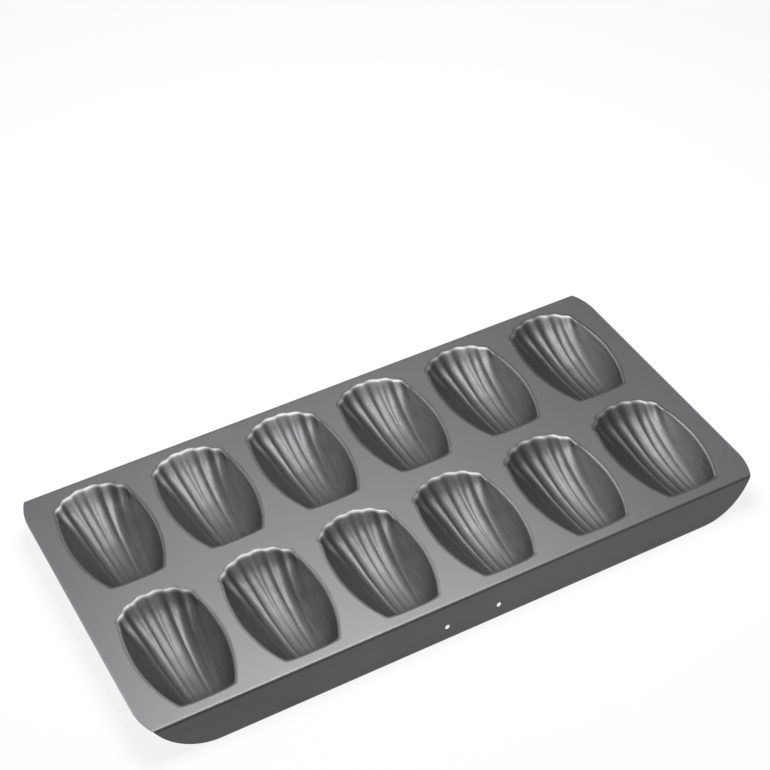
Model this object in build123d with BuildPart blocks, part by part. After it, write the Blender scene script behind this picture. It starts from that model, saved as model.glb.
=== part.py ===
from build123d import *
from math import cos, hypot, pi, radians, sin, sqrt, tan
import os

os.makedirs("parts", exist_ok=True)

# A madeleine pan pressed from one sheet: a flat deck with two rows of six fluted shell
# cups, and a bent-down flange along each long edge on which the pan stands.

# The sheet, and the pan's height from its feet to the deck, in millimetres
sheet = 0.6
pan_height = 21.0

# The two long flanges lean outward from upright by this angle, in degrees
flange_lean = 13.0
bend_radius = 2.0
blank_corner_radius = 41.0

# One cup: its mouth, its depth to the ridges and the flutes between the ridges
cup_length = 82.0
cup_width = 52.4
ridge_depth = 14.8
flute_depth = 1.8
panel_bulge = 2.6
side_ridges = 3
flats_per_flute = 3
flats_per_panel = 3

# Two rows of cups, the gaps of flat deck between them and the margins around them
cup_rows = 2
cup_columns = 6
column_gap = 10.5
row_gap = 15.6
end_margin = 14.05
front_margin = 9.0
rear_margin = 9.4

# Two hang holes through the front flange
hang_hole_diameter = 3.0
hang_hole_spacing = 33.5
hang_hole_drop = 14.0

# Sections of a cup from its narrow end to its scalloped end. Each one lies in a plane
# that leans from flat in the deck, through upright, to flat in the deck again. A row
# holds the place of the rim and of the floor along the cup, the floor's depth, the half
# width, the flute depth and the panel bulge, all as shares of the sizes above. Then come
# the fan angle from ridge to ridge in degrees and the two powers of the section's curve.
section_shares = (
    (0.015, 0.000, 0.000, 0.640, 0.05, 0.45, 13.8, 5.0, 0.80),
    (0.065, 0.060, 0.740, 0.700, 0.26, 0.45, 13.2, 3.0, 1.00),
    (0.180, 0.190, 0.925, 0.840, 0.38, 0.58, 12.1, 2.5, 1.00),
    (0.340, 0.370, 0.990, 0.955, 0.46, 0.75, 11.7, 2.2, 1.00),
    (0.500, 0.555, 0.930, 1.000, 0.58, 0.68, 13.2, 2.1, 1.00),
    (0.620, 0.695, 0.760, 0.985, 0.85, 0.55, 15.3, 2.0, 0.93),
    (0.725, 0.850, 0.440, 0.938, 1.35, 0.12, 19.4, 2.0, 0.74),
    (0.775, 1.000, 0.000, 0.910, 1.05, 0.00, 23.2, 2.0, 0.55),
)

# Values that follow from the sizes
cup_pitch = cup_width + column_gap
row_spacing = cup_length + row_gap
pan_length = cup_columns * cup_pitch - column_gap + 2 * end_margin
fold_to_fold = front_margin + cup_rows * row_spacing - row_gap + rear_margin
half_length = pan_length / 2
half_fold = fold_to_fold / 2
lean = radians(flange_lean)
slant = pan_height / cos(lean)
bend_inner = bend_radius - sheet
bend_run = bend_radius * tan((pi / 2 - lean) / 2)
seam_y = half_fold - bend_run
seam_slant = -bend_run * sin(lean)
corner_drop = blank_corner_radius - (slant - seam_slant)
corner_inset = blank_corner_radius - sqrt(blank_corner_radius**2 - corner_drop**2)
seam_x = half_length - corner_inset
foot_x = half_length - blank_corner_radius
arc_start_y = seam_y - corner_drop


def in_lengths(row):
    """Turn one row of shares into lengths, an angle and two powers."""
    rim, floor, depth, width, flute, panel, fan, power, root = row
    return (
        rim * cup_length,
        floor * cup_length,
        depth * ridge_depth,
        width * cup_width / 2,
        flute * flute_depth,
        panel * panel_bulge,
        radians(fan),
        power,
        root,
    )


sections = [in_lengths(row) for row in section_shares]


def wall_across(place):
    """The sheet's thickness as it shows in a section plane that meets the floor aslant."""
    rim, floor, depth = sections[place][:3]
    before = sections[max(place - 1, 0)]
    after = sections[min(place + 1, len(sections) - 1)]
    run = after[1] - before[1]
    fall = before[2] - after[2]
    square = abs((floor - rim) * fall + depth * run) / (hypot(floor - rim, depth) * hypot(run, fall))
    return sheet / max(square, sin(pi / 6))


def chain(place, gap):
    """Points of one section from rim to rim, at a gap outside the sheet's inner face."""
    rim, floor, depth, half, flute, panel, fan, power, root = sections[place]
    reach = hypot(floor - rim, depth)
    ridges = [ridge * fan for ridge in range(-side_ridges, side_ridges + 1)]
    marks = [-pi / 2] + ridges + [pi / 2]
    bare = []
    for step, (start, end) in enumerate(zip(marks, marks[1:])):
        is_panel = step in (0, len(marks) - 2)
        flats = flats_per_panel if is_panel else flats_per_flute
        bulge = panel if is_panel else flute
        for flat in range(flats):
            share = flat / flats
            angle = start + (end - start) * share
            level = (1 - min(1, abs(sin(angle))) ** power) ** root
            bare.append((half * sin(angle), reach * level, 4 * bulge * share * (1 - share)))
    bare.append((half, 0, 0))
    points = [(-half - gap, 0)]
    for before, here, after in zip(bare, bare[1:], bare[2:]):
        along, down = after[0] - before[0], after[1] - before[1]
        out = (here[2] + gap) / hypot(along, down)
        points.append((here[0] - down * out, here[1] + along * out))
    points.append((half + gap, 0))
    return points


def skin(thick):
    """The sections' points in space, about the cup's place: a skin of the pressed sheet."""
    rows = []
    for place, (rim, floor, depth, *_) in enumerate(sections):
        reach = hypot(floor - rim, depth)
        forward, down = (floor - rim) / reach, depth / reach
        points = chain(place, wall_across(place) if thick else 0)
        rows.append([Vector(x, rim + out * forward, pan_height - out * down) for x, out in points])
    return rows


def mouth(rows):
    """A skin's edge in the deck's top: narrow end, one side, scallops and the other side."""
    one_side = [row[-1] for row in rows[1:-1]]
    other_side = [row[0] for row in rows[1:-1]]
    return rows[0] + one_side + rows[-1][::-1] + other_side[::-1]


def facets(rows):
    """Flat three-sided facets between each section and the next, alike on both sides."""
    faces = []
    for near, far in zip(rows, rows[1:]):
        for a, b, c, d in zip(near, near[1:], far[1:], far):
            halves = ((a, b, c), (a, c, d)) if a.X + b.X < 0 else ((a, b, d), (b, c, d))
            faces += [Face(Wire.make_polygon(half)) for half in halves]
    return faces


inner_skin = skin(thick=False)
outer_skin = skin(thick=True)


def cup_place(row, column):
    centre_x = (column - (cup_columns - 1) / 2) * cup_pitch
    front_y = -half_fold + front_margin + row * row_spacing
    return centre_x, front_y


# The deck: the flat top of the plate, cut through where each cup hangs. Its two short
# ends are plain cut edges, and the rounded corners of the blank run on into the flanges.
with BuildPart() as deck:
    with BuildSketch(Plane.XY.offset(pan_height)):
        with BuildLine():
            Line((-half_length, -arc_start_y), (-half_length, arc_start_y))
            RadiusArc((-half_length, arc_start_y), (-seam_x, seam_y), blank_corner_radius)
            Line((-seam_x, seam_y), (seam_x, seam_y))
            RadiusArc((seam_x, seam_y), (half_length, arc_start_y), blank_corner_radius)
            Line((half_length, arc_start_y), (half_length, -arc_start_y))
            RadiusArc((half_length, -arc_start_y), (seam_x, -seam_y), blank_corner_radius)
            Line((seam_x, -seam_y), (-seam_x, -seam_y))
            RadiusArc((-seam_x, -seam_y), (-half_length, -arc_start_y), blank_corner_radius)
        make_face()
        for row in range(cup_rows):
            for column in range(cup_columns):
                centre_x, front_y = cup_place(row, column)
                with BuildLine():
                    Polyline(*[(centre_x + p.X, front_y + p.Y) for p in mouth(outer_skin)], close=True)
                make_face(mode=Mode.SUBTRACT)
    extrude(amount=-sheet)

deck.part.label = "deck_plate"
export_step(deck.part, "parts/deck_plate.step")


# The cups: each is the pressed, fluted shell of sheet that hangs from the deck. Ridges
# stand between the flutes and fan out from the narrow end to the scalloped rim.
rim = Face(Wire.make_polygon(mouth(outer_skin)), [Wire.make_polygon(mouth(inner_skin))])
pressed_shell = Solid(Shell(facets(inner_skin) + facets(outer_skin) + [rim]))


def make_cup(label, centre_x, front_y):
    with BuildPart() as cup:
        with Locations((centre_x, front_y)):
            add(pressed_shell)
    cup.part.label = label
    export_step(cup.part, "parts/" + label + ".step")


for row, name in enumerate(("front", "back")):
    for column in range(cup_columns):
        make_cup("cup_" + name + "_" + str(column + 1), *cup_place(row, column))


# The flanges: each long edge of the sheet turns down over a small bend and leans outward
# to its lower edge, on which the pan stands. Their ends follow the blank's round corners.
def make_flange(label, side, hole_places):
    bend_y, bend_z = seam_y, pan_height - bend_radius
    outer_low = (bend_y + bend_radius * cos(lean), bend_z + bend_radius * sin(lean))
    inner_low = (bend_y + bend_inner * cos(lean), bend_z + bend_inner * sin(lean))
    outer_foot = (half_fold + pan_height * tan(lean), 0)
    inner_foot = (outer_foot[0] - sheet / cos(lean), 0)
    outside = Plane(
        origin=(0, side * half_fold, pan_height),
        x_dir=(1, 0, 0),
        z_dir=(0, cos(lean), side * sin(lean)),
    )
    with BuildPart() as flange:
        with BuildSketch(Plane(origin=(0, 0, 0), x_dir=(0, side, 0), z_dir=(side, 0, 0))):
            with BuildLine():
                RadiusArc((seam_y, pan_height), outer_low, bend_radius)
                Line(outer_low, outer_foot)
                Line(outer_foot, inner_foot)
                Line(inner_foot, inner_low)
                RadiusArc(inner_low, (seam_y, pan_height - sheet), -bend_inner)
                Line((seam_y, pan_height - sheet), (seam_y, pan_height))
            make_face()
        extrude(amount=half_length, both=True)
        with BuildSketch(outside):
            for end in (-1, 1):
                with BuildLine():
                    beyond = end * (half_length + corner_inset)
                    RadiusArc((end * foot_x, slant), (end * seam_x, seam_slant), end * blank_corner_radius)
                    Polyline(
                        (end * seam_x, seam_slant),
                        (beyond, seam_slant - bend_radius),
                        (beyond, slant + bend_radius),
                        (end * foot_x, slant + bend_radius),
                        (end * foot_x, slant),
                    )
                make_face()
        extrude(amount=bend_radius, both=True, mode=Mode.SUBTRACT)
        if hole_places:
            with BuildSketch(outside):
                with Locations(*hole_places):
                    Circle(hang_hole_diameter / 2)
            extrude(amount=bend_radius, both=True, mode=Mode.SUBTRACT)
    flange.part.label = label
    export_step(flange.part, "parts/" + label + ".step")


hang_holes = [(-hang_hole_spacing / 2, hang_hole_drop), (hang_hole_spacing / 2, hang_hole_drop)]
make_flange("front_flange", -1, hang_holes)
make_flange("rear_flange", 1, [])
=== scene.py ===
from math import cos, hypot, pi, radians, sin, tan

import bmesh
import bpy
from mathutils import Matrix, Vector


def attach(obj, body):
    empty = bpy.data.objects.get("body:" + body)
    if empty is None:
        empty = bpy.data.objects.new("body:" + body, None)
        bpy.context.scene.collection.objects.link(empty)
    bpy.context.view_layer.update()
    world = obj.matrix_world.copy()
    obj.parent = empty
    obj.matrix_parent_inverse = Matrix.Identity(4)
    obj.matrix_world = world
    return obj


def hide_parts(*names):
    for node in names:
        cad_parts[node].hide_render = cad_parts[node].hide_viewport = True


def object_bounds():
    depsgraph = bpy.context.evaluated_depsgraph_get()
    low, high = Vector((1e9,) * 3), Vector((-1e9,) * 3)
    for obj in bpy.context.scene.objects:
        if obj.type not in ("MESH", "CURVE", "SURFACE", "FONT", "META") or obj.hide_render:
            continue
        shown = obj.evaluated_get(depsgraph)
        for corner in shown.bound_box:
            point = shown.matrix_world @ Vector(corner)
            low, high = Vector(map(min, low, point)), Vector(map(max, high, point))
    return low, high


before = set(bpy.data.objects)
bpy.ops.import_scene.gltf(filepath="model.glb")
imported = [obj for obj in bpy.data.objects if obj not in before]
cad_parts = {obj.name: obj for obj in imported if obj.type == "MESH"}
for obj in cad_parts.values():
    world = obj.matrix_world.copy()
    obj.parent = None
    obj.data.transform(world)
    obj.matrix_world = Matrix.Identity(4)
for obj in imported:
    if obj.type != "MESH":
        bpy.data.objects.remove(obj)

cad_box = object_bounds()


# The cups: two rows of six shell moulds, deep-drawn by fluted punches in one thin steel
# sheet. Each has six flutes between ridges that fan out to a scalloped end, a broad smooth
# panel on each side and a small rolled rim where the wall turns over into the flat deck.

sheet = 0.0006
deck_top = cad_box[1][2]
cup_rows = 2
cup_columns = 6
cup_pitch = 0.0629
row_spacing = 0.0976
front_row_y = -0.0900

cup_length = 0.0820
cup_half_width = 0.0262
ridge_depth = 0.0148
flute_depth = 0.0018
flute_squareness = 3.0
panel_bulge = 0.0003
panel_roundness = 2.0
ridges_each_side = 3
lanes_across = 2 * ridges_each_side + 2

# From one side panel over the six flutes to the other panel: how much of its hollow each
# of them loses from the rim down to the floor
lane_fade_shares = (0.0, 0.6, 0.0, 0.35, 0.35, 0.0, 0.6, 0.0)

# Sections of a cup from its narrow end to its scalloped end, as shares of the sizes above:
# rim place, floor place, depth, half width, flute and panel. Then come the fan angle from
# ridge to ridge in degrees and the two powers of the section's curve.
section_shares = (
    (0.015, 0.000, 0.000, 0.640, 0.05, 0.45, 13.8, 5.0, 0.80),
    (0.038, 0.022, 0.400, 0.660, 0.09, 0.45, 13.6, 4.0, 0.90),
    (0.065, 0.060, 0.740, 0.700, 0.15, 0.45, 13.4, 3.0, 1.00),
    (0.165, 0.170, 0.910, 0.825, 0.20, 0.58, 12.9, 2.6, 1.00),
    (0.330, 0.360, 0.990, 0.950, 0.25, 0.75, 13.0, 2.2, 1.00),
    (0.470, 0.520, 0.950, 1.000, 0.32, 0.70, 14.1, 2.1, 1.00),
    (0.600, 0.665, 0.800, 0.990, 0.47, 0.55, 15.6, 2.0, 0.95),
    (0.690, 0.790, 0.580, 0.960, 0.80, 0.35, 18.0, 2.0, 0.82),
    (0.745, 0.890, 0.340, 0.930, 1.28, 0.12, 20.6, 2.0, 0.68),
    (0.775, 1.000, 0.000, 0.910, 1.05, 0.00, 23.2, 2.0, 0.55),
)
spans_along = len(section_shares) - 1
columns_per_lane = 12
steps_per_span = 10
slope_reach = 0.02
rounding = 1e-6

# The rim is drawn out over the deck in steps around the cup's middle line. The sheet is
# then eased once all over, and again in turns that each start a little nearer to the rim.
rim_steps = (0.0004, 0.0004, 0.0004, 0.0006)
rim_point_gap = 0.00035
middle_line_shares = (0.3, 0.75)
ease = 0.5
rim_turns = 14
eased_from = -0.0120
rise_each_turn = 0.0006


def smooth_line(values, place):
    """The height at a place on a smooth line through evenly spaced values."""
    last = len(values) - 1
    here = min(int(place), last - 1)
    share = place - here
    rises = [after - before for before, after in zip(values, values[1:])]

    def slope(index):
        if index in (0, last):
            return rises[min(index, last - 1)]
        before, after = rises[index - 1], rises[index]
        return 2 * before * after / (before + after) if before * after > 0 else 0.0

    start, end, rise = slope(here), slope(here + 1), rises[here]
    square = 3 * rise - 2 * start - end
    cube = start + end - 2 * rise
    return values[here] + share * (start + share * (square + share * cube))


def bare_section(half, reach, power, root, angle):
    """A section's point without its flutes: aside, and down its plane, at an angle across."""
    return half * sin(angle), reach * (1 - min(1.0, abs(sin(angle))) ** power) ** root


def shell_point(shares, across):
    """A point of the shell, from its section's shares and its place across, from -1 to 1."""
    rim_share, floor_share, depth_share, width_share, flute, panel, fan, power, root = shares
    rim, floor = rim_share * cup_length, floor_share * cup_length
    depth, half = depth_share * ridge_depth, width_share * cup_half_width
    reach = hypot(floor - rim, depth)

    ridges = [number * radians(fan) for number in range(-ridges_each_side, ridges_each_side + 1)]
    marks = [-pi / 2] + ridges + [pi / 2]
    place = (across + 1) / 2 * lanes_across
    lane = min(int(place + rounding), lanes_across - 1)
    share = place - lane
    angle = marks[lane] + (marks[lane + 1] - marks[lane]) * share

    is_panel = lane in (0, lanes_across - 1)
    fullness = 1 - abs(2 * share - 1) ** (panel_roundness if is_panel else flute_squareness)
    fullness *= 1 - lane_fade_shares[lane] * depth_share
    bulge = (panel * panel_bulge if is_panel else flute * flute_depth) * fullness

    here = bare_section(half, reach, power, root, angle)
    before = bare_section(half, reach, power, root, max(angle - slope_reach, -pi / 2))
    after = bare_section(half, reach, power, root, min(angle + slope_reach, pi / 2))
    along, down = after[0] - before[0], after[1] - before[1]
    size = hypot(along, down) or 1.0
    aside = here[0] - down / size * bulge
    deep = here[1] + along / size * bulge
    return Vector((aside, rim + deep * (floor - rim) / reach, min(0.0, -deep * depth / reach)))


def open_edges(form):
    """The edges around an open sheet and its holes."""
    return [edge for edge in form.edges if edge.is_boundary]


def open_points(form):
    """The points around an open sheet and its holes."""
    return [vert for vert in form.verts if vert.is_boundary]


def widen_rim(form, step):
    """Draw the open edge outward in the deck's plane, away from the cup's middle line."""
    first, last = (share * cup_length for share in middle_line_shares)
    for vert in bmesh.ops.extrude_edge_only(form, edges=open_edges(form))["geom"]:
        if isinstance(vert, bmesh.types.BMVert):
            middle = Vector((0, min(max(vert.co.y, first), last), vert.co.z))
            vert.co += (vert.co - middle).normalized() * step


def ease_bends(form, verts):
    """Soften the bends at some points of a sheet."""
    bmesh.ops.smooth_vert(
        form, verts=verts, factor=ease, use_axis_x=True, use_axis_y=True, use_axis_z=True
    )


def face_up(form):
    """Turn an open sheet over if it shows its underside to the sky."""
    form.normal_update()
    if sum(face.normal.z * face.calc_area() for face in form.faces) < 0:
        bmesh.ops.reverse_faces(form, faces=form.faces)


shell = bmesh.new()
bmesh.ops.create_grid(
    shell,
    x_segments=lanes_across * columns_per_lane,
    y_segments=spans_along * steps_per_span,
    size=1.0,
)
shares_along = {}
for vert in shell.verts:
    key = round(vert.co.y, 5)
    if key not in shares_along:
        place = (vert.co.y + 1) / 2 * spans_along
        shares_along[key] = [smooth_line(column, place) for column in zip(*section_shares)]
    vert.co = shell_point(shares_along[key], vert.co.x)
for vert in open_points(shell):
    vert.co.z = 0
bmesh.ops.remove_doubles(shell, verts=open_points(shell), dist=rim_point_gap)
for step in rim_steps:
    widen_rim(shell, step)
inside = [vert for vert in shell.verts if not vert.is_boundary]
ease_bends(shell, inside)
for turn in range(rim_turns):
    ease_bends(shell, [vert for vert in inside if vert.co.z > eased_from + rise_each_turn * turn])
bmesh.ops.recalc_face_normals(shell, faces=shell.faces)
face_up(shell)


# The coating on the whole pan is a sprayed and baked dark grey non-stick film. It is
# semi-gloss, finely pebbled and a little uneven in tone. It is lighter on its edges, where
# the film is rubbed and a highlight is painted. The copies of it on the cups and flanges
# are darker than the deck's by painted shade.

def new_group(name, inputs, outputs):
    """An empty shader node group with named number, vector or colour sockets."""
    group = bpy.data.node_groups.new(name, "ShaderNodeTree")
    for label, kind, value in inputs:
        socket = group.interface.new_socket(name=label, in_out="INPUT", socket_type=kind)
        if value is not None:
            socket.default_value = value
    for label in outputs:
        group.interface.new_socket(name=label, in_out="OUTPUT", socket_type="NodeSocketFloat")
    return group, group.nodes.new("NodeGroupInput"), group.nodes.new("NodeGroupOutput")


def feed(tree, socket, value):
    """Link a socket to another one, or set it to a plain value."""
    if isinstance(value, bpy.types.NodeSocket):
        tree.links.new(value, socket)
    else:
        socket.default_value = value


def maths(tree, operation, *values):
    """A sum of one or two values."""
    node = tree.nodes.new("ShaderNodeMath")
    node.operation = operation
    for socket, value in zip(node.inputs, values):
        feed(tree, socket, value)
    return node.outputs[0]


def ramp(tree, value, low, high, first=0.0, last=1.0, kind="LINEAR"):
    """A value that runs from first to last while another one runs from low to high."""
    node = tree.nodes.new("ShaderNodeMapRange")
    node.interpolation_type = kind
    feed(tree, node.inputs["Value"], value)
    feed(tree, node.inputs["From Min"], low)
    feed(tree, node.inputs["From Max"], high)
    feed(tree, node.inputs["To Min"], first)
    feed(tree, node.inputs["To Max"], last)
    return node.outputs["Result"]


def noise(tree, vector, scale, detail, **more):
    """Cloudy noise over the surface, from 0 to 1."""
    node = tree.nodes.new("ShaderNodeTexNoise")
    for label, value in {"Vector": vector, "Scale": scale, "Detail": detail, **more}.items():
        feed(tree, node.inputs[label], value)
    return node.outputs["Fac"]


def blend(tree, kind, how, factor, under, over):
    """Two colours (RGBA) or numbers (FLOAT) blended by a factor, with MIX or MULTIPLY."""
    node = tree.nodes.new("ShaderNodeMix")
    node.data_type = kind
    node.blend_type = how
    feed(tree, node.inputs["Factor"], factor)
    feed(tree, node.inputs["A"], under)
    feed(tree, node.inputs["B"], over)
    return node.outputs["Result"]


def sprayed_pebble():
    """Height of the coating's fine orange-peel surface, with a few larger grains."""
    group, inputs, outputs = new_group(
        "sprayed pebble",
        [("Vector", "NodeSocketVector", None), ("Grain Size", "NodeSocketFloat", 0.0012)],
        ["Height", "Grain"],
    )
    vector = inputs.outputs["Vector"]
    per_metre = maths(group, "DIVIDE", 1.0, inputs.outputs["Grain Size"])
    fine = noise(group, vector, per_metre, 3.0, Roughness=0.55)
    cells = group.nodes.new("ShaderNodeTexVoronoi")
    cells.inputs["Randomness"].default_value = 0.9
    feed(group, cells.inputs["Vector"], vector)
    feed(group, cells.inputs["Scale"], per_metre)
    grain = ramp(group, cells.outputs["Distance"], 0.0, 0.7, 1.0, 0.0)
    feed(group, outputs.inputs["Height"], blend(group, "FLOAT", "MIX", 0.35, fine, grain))
    feed(group, outputs.inputs["Grain"], grain)
    return group


def oven_tone():
    """Slow changes of tone over a hand's breadth, and small smudges left by handling."""
    group, inputs, outputs = new_group(
        "oven tone", [("Vector", "NodeSocketVector", None)], ["Tone", "Smudge"]
    )
    for label, scale, low, high in (("Tone", 7.0, 0.25, 0.75), ("Smudge", 46.0, 0.35, 0.85)):
        clouds = noise(group, inputs.outputs["Vector"], scale, 4.0, Distortion=0.4)
        feed(group, outputs.inputs[label], ramp(group, clouds, low, high, kind="SMOOTHSTEP"))
    return group


def in_patches(group, vector, mask):
    """A mask of rubbed film and painted highlight, broken into patches."""
    return maths(group, "MULTIPLY", mask, noise(group, vector, 160.0, 3.0))


def bends_rubbed_and_highlighted():
    """Where ridges and rims stand out: the film is rubbed thin there, and a highlight is painted
    on them.
    """
    group, inputs, outputs = new_group(
        "bends rubbed and highlighted",
        [
            ("Vector", "NodeSocketVector", None),
            ("Deck Top", "NodeSocketFloat", 0.021),
            ("Rim Start", "NodeSocketFloat", 0.00004),
            ("Rim Full", "NodeSocketFloat", 0.0002),
            ("Rim Fading", "NodeSocketFloat", 0.0004),
            ("Rim End", "NodeSocketFloat", 0.0011),
        ],
        ["Rub"],
    )
    vector = inputs.outputs["Vector"]
    shape = group.nodes.new("ShaderNodeNewGeometry")
    # lighter on the ridges and in a band just under the rim: rubbed film and a painted highlight
    ridges = in_patches(group, vector, ramp(group, shape.outputs["Pointiness"], 0.55, 0.70))

    place = group.nodes.new("ShaderNodeSeparateXYZ")
    feed(group, place.inputs["Vector"], vector)
    below = maths(group, "SUBTRACT", inputs.outputs["Deck Top"], place.outputs["Z"])
    starts = ramp(group, below, inputs.outputs["Rim Start"], inputs.outputs["Rim Full"])
    ends = ramp(group, below, inputs.outputs["Rim Fading"], inputs.outputs["Rim End"], 1.0, 0.0)
    rim = maths(group, "MULTIPLY", starts, ends)
    feed(group, outputs.inputs["Rub"], maths(group, "MAXIMUM", ridges, rim))
    return group


def drawn_streaks():
    """Fine streaks left along the flutes where the sheet was drawn over the punch."""
    group, inputs, outputs = new_group(
        "drawn streaks",
        [("Vector", "NodeSocketVector", None), ("Stretch", "NodeSocketFloat", 0.12)],
        ["Streak"],
    )
    place = group.nodes.new("ShaderNodeSeparateXYZ")
    feed(group, place.inputs["Vector"], inputs.outputs["Vector"])
    drawn_out = group.nodes.new("ShaderNodeCombineXYZ")
    feed(group, drawn_out.inputs["X"], place.outputs["X"])
    along = maths(group, "MULTIPLY", place.outputs["Y"], inputs.outputs["Stretch"])
    feed(group, drawn_out.inputs["Y"], along)
    feed(group, drawn_out.inputs["Z"], place.outputs["Z"])
    streaks = noise(group, drawn_out.outputs["Vector"], 700.0, 3.0)
    feed(group, outputs.inputs["Streak"], ramp(group, streaks, 0.3, 0.7))
    return group


pebble_group = sprayed_pebble()
tone_group = oven_tone()
bend_rub_and_highlight_group = bends_rubbed_and_highlighted()
streak_group = drawn_streaks()
grain_height = 0.00002
grain_strength = 0.35
speck_share = 0.06


def coated_steel(name, dark, light, rub_and_highlight_tone, gloss, gloss_spread, metal, rub_and_highlight_group, streaks=0.0):
    """One copy of the coating, darker on some parts of the pan by painted shade: its two tones,
    its tone where it is rubbed and highlighted, its gloss, and the mask of rubbing and painted
    highlight.
    """
    material = bpy.data.materials.new(name)
    material.use_nodes = True
    tree = material.node_tree
    film = tree.nodes["Principled BSDF"]
    film.inputs["Specular IOR Level"].default_value = 0.75
    film.inputs["Metallic"].default_value = metal
    place = tree.nodes.new("ShaderNodeTexCoord").outputs["Object"]

    def effect(group):
        node = tree.nodes.new("ShaderNodeGroup")
        node.node_tree = group
        feed(tree, node.inputs["Vector"], place)
        return node.outputs

    pebble, tone = effect(pebble_group), effect(tone_group)
    colour = blend(tree, "RGBA", "MIX", tone["Tone"], (*dark, 1), (*light, 1))
    colour = blend(tree, "RGBA", "MULTIPLY", speck_share, colour, pebble["Grain"])
    if streaks:
        colour = blend(tree, "RGBA", "MULTIPLY", streaks, colour, effect(streak_group)["Streak"])
    # the lighter edge tone stands for rubbed film and painted highlights alike
    colour = blend(tree, "RGBA", "MIX", effect(rub_and_highlight_group)["Rub"], colour, (*rub_and_highlight_tone, 1))
    feed(tree, film.inputs["Base Color"], colour)
    roughness = ramp(tree, tone["Smudge"], 0.0, 1.0, gloss, gloss + gloss_spread)
    feed(tree, film.inputs["Roughness"], roughness)

    relief = tree.nodes.new("ShaderNodeBump")
    relief.inputs["Strength"].default_value = grain_strength
    relief.inputs["Distance"].default_value = grain_height
    feed(tree, relief.inputs["Height"], pebble["Height"])
    feed(tree, film.inputs["Normal"], relief.outputs["Normal"])
    return material


# painted shade: this copy of the coating is darker than the deck's, for the shade on the cups
shaded_cup_coating = coated_steel(
    "cup coating with painted shade",
    dark=(0.124, 0.122, 0.128),
    light=(0.138, 0.137, 0.142),
    rub_and_highlight_tone=(0.235, 0.235, 0.24),
    gloss=0.48,
    gloss_spread=0.03,
    metal=0.85,
    rub_and_highlight_group=bend_rub_and_highlight_group,
    streaks=0.22,
)
crease_angle = radians(75)


def pressed_piece(name, form, coatings):
    """Give a sheet form its thickness and coatings, the last one for its cut edges."""
    mesh = bpy.data.meshes.new(name)
    form.to_mesh(mesh)
    piece = bpy.data.objects.new(name, mesh)
    bpy.context.scene.collection.objects.link(piece)
    wall = piece.modifiers.new("wall", "SOLIDIFY")
    wall.thickness = sheet
    wall.offset = -1
    wall.use_even_offset = True
    wall.material_offset_rim = len(coatings) - 1
    for coating in coatings:
        mesh.materials.append(coating)
    finished = piece.evaluated_get(bpy.context.evaluated_depsgraph_get())
    solid = bpy.data.meshes.new_from_object(finished)
    piece.modifiers.clear()
    piece.data = solid
    bpy.data.meshes.remove(mesh)
    solid.name = name
    for vert in solid.vertices:
        vert.co.z = min(max(vert.co.z, 0.0), deck_top)
    solid.shade_smooth()
    solid.set_sharp_from_angle(angle=crease_angle)
    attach(piece, "root")
    return piece


def cup_place(row, column):
    """Where a cup's narrow end meets its middle line, in the deck's top."""
    aside = (column - (cup_columns - 1) / 2) * cup_pitch
    return Vector((aside, front_row_y + row * row_spacing, deck_top))


for row, row_name in enumerate(("front", "back")):
    for column in range(cup_columns):
        form = shell.copy()
        bmesh.ops.translate(form, verts=form.verts, vec=cup_place(row, column))
        label = "cup_" + row_name + "_" + str(column + 1)
        cup = pressed_piece("shell_" + label, form, [shaded_cup_coating])
        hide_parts(label)
        form.free()


# The deck: the flat top of the same sheet, between the cups. It is stamped from a blank
# with round corners, and its two short ends are plain sheared edges.

pan_length = cad_box[1][0] - cad_box[0][0]
half_fold = 0.0990
flange_lean = radians(13.0)
bend_radius = 0.0020
bend_run = bend_radius * tan((pi / 2 - flange_lean) / 2)
bend_arc = bend_radius * (pi / 2 - flange_lean)
bend_start = half_fold - bend_run
flange_drop = deck_top / cos(flange_lean) - bend_run
blank_half_width = bend_start + bend_arc + flange_drop
blank_corner = 0.0410
corner_steps = 28
flat_before_bend = 0.0015
deck_side = bend_start - flat_before_bend


def outline_rubbed_and_highlighted():
    """Where the flat sheet's short ends and its lower edges are rubbed, with a highlight painted
    along them.
    """
    group, inputs, outputs = new_group(
        "outline rubbed and highlighted",
        [
            ("Vector", "NodeSocketVector", None),
            ("Half Length", "NodeSocketFloat", 0.1975),
            ("Reach", "NodeSocketFloat", 0.0012),
        ],
        ["Rub"],
    )
    vector = inputs.outputs["Vector"]
    place = group.nodes.new("ShaderNodeSeparateXYZ")
    feed(group, place.inputs["Vector"], vector)
    aside = maths(group, "ABSOLUTE", place.outputs["X"])
    from_end = maths(group, "SUBTRACT", inputs.outputs["Half Length"], aside)
    nearest = maths(group, "MINIMUM", from_end, place.outputs["Z"])
    # lighter near the short ends and the lower edges: rubbed film and a painted highlight
    near = ramp(group, nearest, 0.0, inputs.outputs["Reach"], 1.0, 0.0)
    feed(group, outputs.inputs["Rub"], in_patches(group, vector, near))
    return group


outline_rub_and_highlight_group = outline_rubbed_and_highlighted()
deck_coating = coated_steel(
    "deck coating",
    dark=(0.153, 0.152, 0.158),
    light=(0.167, 0.166, 0.172),
    rub_and_highlight_tone=(0.30, 0.30, 0.31),
    gloss=0.43,
    gloss_spread=0.02,
    metal=0.55,
    rub_and_highlight_group=outline_rub_and_highlight_group,
)
cut_edge = coated_steel(
    "cut edge",
    dark=(0.07, 0.07, 0.075),
    light=(0.11, 0.11, 0.115),
    rub_and_highlight_tone=(0.30, 0.30, 0.31),
    gloss=0.38,
    gloss_spread=0.10,
    metal=0.6,
    rub_and_highlight_group=outline_rub_and_highlight_group,
)


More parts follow.
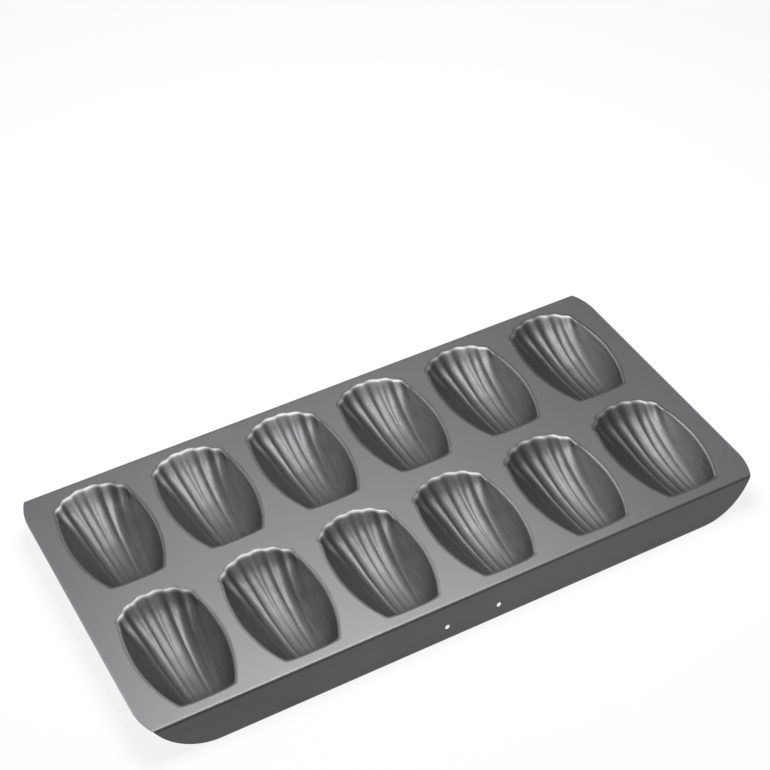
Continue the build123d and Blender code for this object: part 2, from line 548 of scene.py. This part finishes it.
def blank_sheet():
    """The flat blank before the flanges are bent, with its four round corners."""
    blank = bmesh.new()
    bmesh.ops.create_grid(blank, x_segments=1, y_segments=1, size=1.0)
    bmesh.ops.scale(blank, verts=blank.verts, vec=(pan_length / 2, blank_half_width, 1))
    bmesh.ops.translate(blank, verts=blank.verts, vec=(0, 0, deck_top))
    bmesh.ops.bevel(
        blank,
        geom=blank.verts[:],
        offset=blank_corner,
        offset_type="OFFSET",
        affect="VERTICES",
        segments=corner_steps,
        profile=0.5,
        material=-1,
    )
    return blank


def cut_across(form, y, **kept):
    """Part the sheet along a line across it, and clear one side where that is asked for."""
    everything = form.verts[:] + form.edges[:] + form.faces[:]
    bmesh.ops.bisect_plane(form, geom=everything, plane_co=(0, y, 0), plane_no=(0, 1, 0), **kept)


def turn_round(form, angle):
    """Turn a sheet on the floor around the pan's middle."""
    turn = Matrix.Rotation(angle, 3, "Z")
    bmesh.ops.rotate(form, verts=form.verts, cent=(0, 0, 0), matrix=turn)


def refill(form):
    """Fill the flat sheet again between its outline and the loops inside it."""
    bmesh.ops.delete(form, geom=form.faces[:], context="FACES_ONLY")
    bmesh.ops.triangle_fill(form, use_beauty=True, use_dissolve=False, edges=form.edges[:])
    bmesh.ops.recalc_face_normals(form, faces=form.faces)
    face_up(form)


deck_form = blank_sheet()
cut_across(deck_form, deck_side, clear_outer=True)
turn_round(deck_form, pi)
cut_across(deck_form, deck_side, clear_outer=True)
for row in range(cup_rows):
    for column in range(cup_columns):
        place = cup_place(row, column)
        corners = {vert: deck_form.verts.new(vert.co + place) for vert in open_points(shell)}
        for edge in open_edges(shell):
            deck_form.edges.new([corners[vert] for vert in edge.verts])
refill(deck_form)
deck = pressed_piece("deck_sheet", deck_form, [deck_coating, cut_edge])
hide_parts("deck_plate")
deck_form.free()
shell.free()


# The flanges: the blank's two long edges, bent down over a small radius to lean outward.
# They stiffen the pan and carry it. The front one has two punched hang holes.

hang_hole_radius = 0.0015
hang_hole_aside = 0.01675
hang_hole_drop = 0.0140
hang_hole_y = bend_start + bend_arc + hang_hole_drop - bend_run
hole_steps = 40
bend_steps = 14
flat_top_reach = bend_radius / 4

# painted shade: this copy of the coating is darker than the deck's, for the flanges' shaded faces
shaded_flange_coating = coated_steel(
    "flange coating with painted shade",
    dark=(0.116, 0.119, 0.119),
    light=(0.126, 0.129, 0.129),
    rub_and_highlight_tone=(0.26, 0.26, 0.27),
    gloss=0.44,
    gloss_spread=0.02,
    metal=0.6,
    rub_and_highlight_group=outline_rub_and_highlight_group,
)


def bend_down(form):
    """Bend the part of the sheet past the bend line down over the bend's radius."""
    turn = pi / 2 - flange_lean
    for vert in form.verts:
        past = vert.co.y - bend_start
        if past <= 0:
            continue
        angle = min(past / bend_radius, turn)
        straight = max(past - bend_arc, 0)
        vert.co.y = bend_start + bend_radius * sin(angle) + straight * sin(flange_lean)
        vert.co.z = deck_top - bend_radius * (1 - cos(angle)) - straight * cos(flange_lean)


for label, hole_sides, facing in (("front_flange", (-1, 1), pi), ("rear_flange", (), 0)):
    form = blank_sheet()
    cut_across(form, deck_side, clear_inner=True)
    for side in hole_sides:
        place = Matrix.Translation((side * hang_hole_aside, hang_hole_y, deck_top))
        bmesh.ops.create_circle(
            form, cap_ends=False, radius=hang_hole_radius, segments=hole_steps, matrix=place
        )
    refill(form)
    for step in range(bend_steps + 1):
        cut_across(form, bend_start + bend_arc * step / bend_steps)
    bend_down(form)
    # the strip next to the deck, down to the start of the bend, is coated like the deck; the rest
    # of the flange has the darker copy with painted shade
    for face in form.faces:
        on_top = face.calc_center_median().z > deck_top - flat_top_reach
        face.material_index = 1 if on_top else 0
    turn_round(form, facing)
    flange = pressed_piece("bent_" + label, form, [shaded_flange_coating, deck_coating, cut_edge])
    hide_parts(label)
    form.free()


# The floor: a plain white photographer's table, wide enough to fill the view. Seen
# straight or in a reflection it is nearly pure white, and it keeps the pan's shadow.

floor_half_width = 4.0
plain_white_share = 0.86

floor_form = bmesh.new()
bmesh.ops.create_grid(floor_form, x_segments=1, y_segments=1, size=floor_half_width)
floor_mesh = bpy.data.meshes.new("floor")
floor_form.to_mesh(floor_mesh)
floor_form.free()
floor = bpy.data.objects.new("floor", floor_mesh)
bpy.context.scene.collection.objects.link(floor)
white_table = bpy.data.materials.new("white table")
white_table.use_nodes = True
table = white_table.node_tree
surface = table.nodes["Principled BSDF"]
surface.inputs["Base Color"].default_value = (0.95, 0.95, 0.95, 1)
surface.inputs["Roughness"].default_value = 0.8
rays = table.nodes.new("ShaderNodeLightPath").outputs
direct = maths(table, "MAXIMUM", rays["Is Camera Ray"], rays["Is Glossy Ray"])
direct = maths(table, "MAXIMUM", direct, rays["Is Transmission Ray"])
white = table.nodes.new("ShaderNodeEmission")
shown = table.nodes.new("ShaderNodeMixShader")
feed(table, shown.inputs["Fac"], maths(table, "MULTIPLY", direct, plain_white_share))
feed(table, shown.inputs[1], surface.outputs["BSDF"])
feed(table, shown.inputs[2], white.outputs["Emission"])
feed(table, table.nodes["Material Output"].inputs["Surface"], shown.outputs["Shader"])
floor_mesh.materials.append(white_table)


# The light: a softbox close above the pan's back half, whose light falls off over the
# deck, a weak one far behind the pan on the left, and a dim grey studio all round.

softboxes = (
    ("softbox", Vector((0.055, 0.155, 0.67)), Vector((0.055, 0.155, 0)), 0.40, 6.0),
    ("fill softbox", Vector((-0.96, 1.04, 0.75)), Vector((0, 0, 0)), 0.80, 3.2),
)
for name, place, aim, size, watts in softboxes:
    lamp_data = bpy.data.lights.new(name, "AREA")
    lamp_data.size = size
    lamp_data.energy = watts
    lamp = bpy.data.objects.new(name, lamp_data)
    lamp.location = place
    lamp.rotation_euler = (aim - place).to_track_quat("-Z", "Y").to_euler()
    bpy.context.scene.collection.objects.link(lamp)

studio = bpy.data.worlds.new("studio")
bpy.context.scene.world = studio
studio.use_nodes = True
studio.node_tree.nodes["Background"].inputs["Color"].default_value = (0.15, 0.15, 0.153, 1)


# The camera: held high off the pan's left front corner, looking down along it and turned
# a little clockwise, with a long lens.

camera_place = Vector((-0.3566, -0.7147, 0.8108))
right = Vector((0.88035, -0.47324, -0.03215))
look = Vector((0.33544, 0.66906, -0.66320))
up = right.cross(look)
turn = Matrix((right, up, -look)).transposed().to_4x4()
camera_data = bpy.data.cameras.new("camera")
camera_data.sensor_width = 36.0
camera_data.lens = 88.13
camera = bpy.data.objects.new("camera", camera_data)
camera.matrix_world = Matrix.Translation(camera_place) @ turn
bpy.context.scene.collection.objects.link(camera)
bpy.context.scene.camera = camera
bpy.context.scene.view_settings.view_transform = "Standard"
